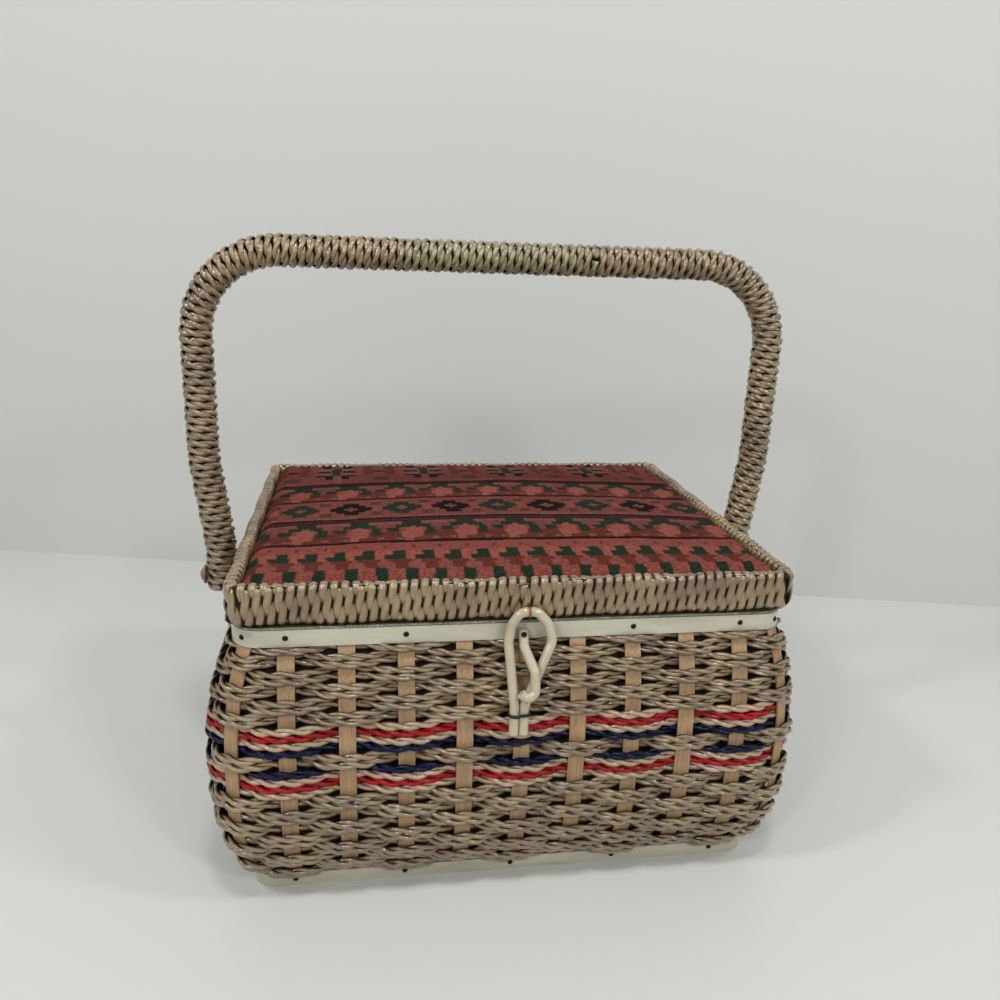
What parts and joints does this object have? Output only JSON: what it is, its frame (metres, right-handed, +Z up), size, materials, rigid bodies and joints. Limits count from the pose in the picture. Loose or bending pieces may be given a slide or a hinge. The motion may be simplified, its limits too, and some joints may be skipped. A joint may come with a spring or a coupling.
{
  "type": "sewing basket",
  "caption": "Woven cord-and-splint sewing basket with a padded cloth lid on hinges, a wrapped swing handle and a loop-and-hook clasp.",
  "frame": {"origin": "middle of the base, on the surface it stands on", "axes": "+Z up, -Y towards the front with the clasp, +Y towards the hinges, +X to the right seen from the front"},
  "size_m": [0.3454, 0.2635, 0.3232],
  "materials": {
    "plywood": "plain",
    "vinyl_strip": "satin",
    "tack_steel": "dark oxidised",
    "wood_splint": "sliced strip",
    "rush_cord": "glossy twisted cord",
    "red_cord": "glossy twisted cord",
    "navy_cord": "glossy twisted cord",
    "hoop_wood": "bent wood",
    "lining_cloth": "cloth on card",
    "braid_thread": "twisted thread",
    "hinge_brass": "stamped",
    "rim_cord": "glossy twisted cord wrap",
    "grip_cord": "tinted twisted cord wrap",
    "pad_wadding": "cotton wadding",
    "cover_cloth": "patterned woven cloth",
    "pivot_steel": "nickel plated",
    "spacer_rubber": "moulded",
    "vinyl_tube": "extruded tube",
    "black_thread": "wound thread",
    "copper_wire": "copper",
    "stay_satin": "satin ribbon"
  },
  "bodies": {
    "body": {"base_board": "plywood", "base_strip": "vinyl_strip", "base_tacks": "tack_steel", "floor_pad": "lining_cloth", "splints": "wood_splint", "top_tacks": "tack_steel", "weave_row_01": "rush_cord", "weave_row_02": "rush_cord", "weave_row_03": "rush_cord", "weave_row_04": "rush_cord", "weave_row_05": "rush_cord", "weave_row_06": "rush_cord", "weave_row_07": "rush_cord", "weave_row_08": "rush_cord", "weave_row_09": "rush_cord", "weave_row_10": "rush_cord", "weave_row_11": "rush_cord", "weave_row_12": "rush_cord", "weave_row_13": "rush_cord", "weave_row_14": "rush_cord", "weave_row_15": "rush_cord", "pale_cords": "rush_cord", "red_cords": "red_cord", "navy_cords": "navy_cord", "top_hoop": "hoop_wood", "top_strip": "vinyl_strip", "lining_wall": "lining_cloth", "edge_braid": "braid_thread", "hinge_leaves_body": "hinge_brass", "hinge_pins": "hinge_brass", "hinge_screws_body": "hinge_brass", "pivot_washers": "pivot_steel", "pivot_spacers": "spacer_rubber", "pivot_nuts": "pivot_steel", "pivot_bolts": "pivot_steel", "clasp_hook": "vinyl_tube", "clasp_nail": "tack_steel", "stay_ribbons": "stay_satin"},
    "lid": {"lid_frame": "hoop_wood", "lid_rim_wrap": "rim_cord", "lid_board": "plywood", "lid_lining": "lining_cloth", "lid_pad": "pad_wadding", "lid_cover": "cover_cloth", "hinge_leaves_lid": "hinge_brass", "hinge_screws_lid": "hinge_brass", "clasp_wire": "copper_wire"},
    "handle": {"handle_core": "hoop_wood", "handle_wrap": "rim_cord", "handle_grip_wrap": "grip_cord"},
    "clasp": {"clasp_loop": "vinyl_tube", "clasp_tie": "black_thread"}
  },
  "joints": [
    {"name": "lid_hinge", "type": "hinge", "parent": "body", "child": "lid", "pos_m": [0, 0.1174, 0.1469], "axis": [-1, 0, 0], "range_deg": [0, 100], "deforming": ["stay_ribbons"]},
    {"name": "handle_swing", "type": "hinge", "parent": "body", "child": "handle", "pos_m": [0, 0, 0.131], "axis": [-1, 0, 0], "range_deg": [0, 100]},
    {"name": "clasp_swing", "type": "hinge", "parent": "lid", "child": "clasp", "pos_m": [0.0021, -0.11765, 0.1535], "axis": [-1, 0, 0], "range_deg": [0, 100], "deforming": ["clasp_loop", "clasp_tie"]}
  ],
  "couplings": [
    {"joint": "handle_swing", "follows": "lid_hinge", "ratio": 1}
  ]
}
